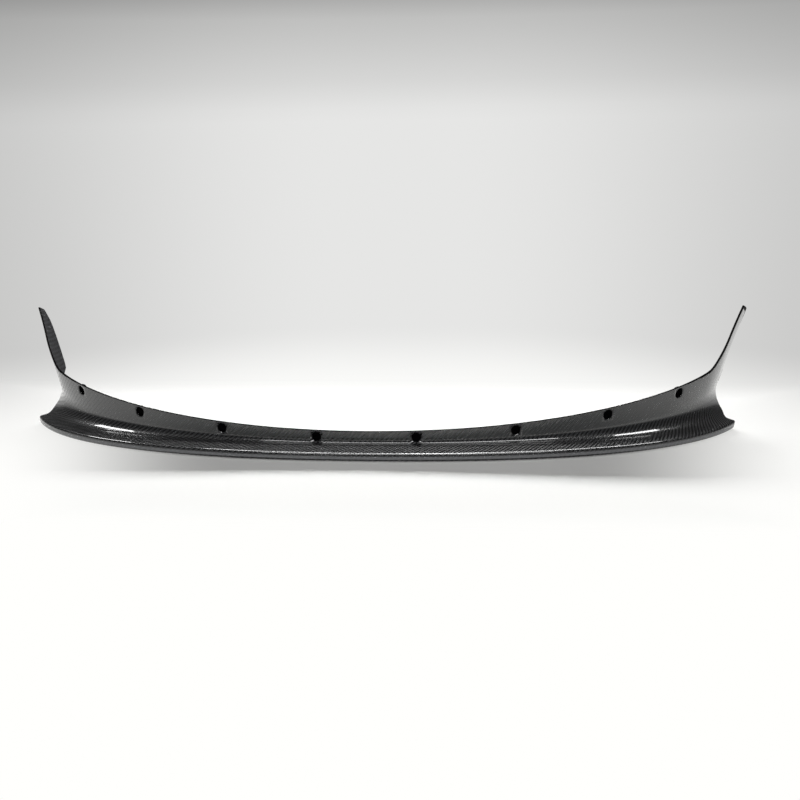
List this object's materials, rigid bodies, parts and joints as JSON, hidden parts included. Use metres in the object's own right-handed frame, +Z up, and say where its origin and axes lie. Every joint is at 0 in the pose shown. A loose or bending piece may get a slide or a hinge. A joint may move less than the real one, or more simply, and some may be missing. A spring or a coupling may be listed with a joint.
{
  "type": "front splitter lip",
  "caption": "Curved hollow lip that wraps a car bumper's lower edge: upright screw flange with recessed wells, ledge, blunt nose and two upswept tails.",
  "frame": {"origin": "under the middle of the outline, on the surface that the lip lies on", "axes": "+X across the car, +Y towards the rear of the car, +Z up"},
  "size_m": [1.7812, 0.5028, 0.2619],
  "materials": {
    "carbon_laminate": "2x2 twill carbon-fibre laminate under a polished clear coat, black at the cut edges"
  },
  "bodies": {
    "root": {"splitter_lip": "carbon_laminate"}
  },
  "joints": []
}
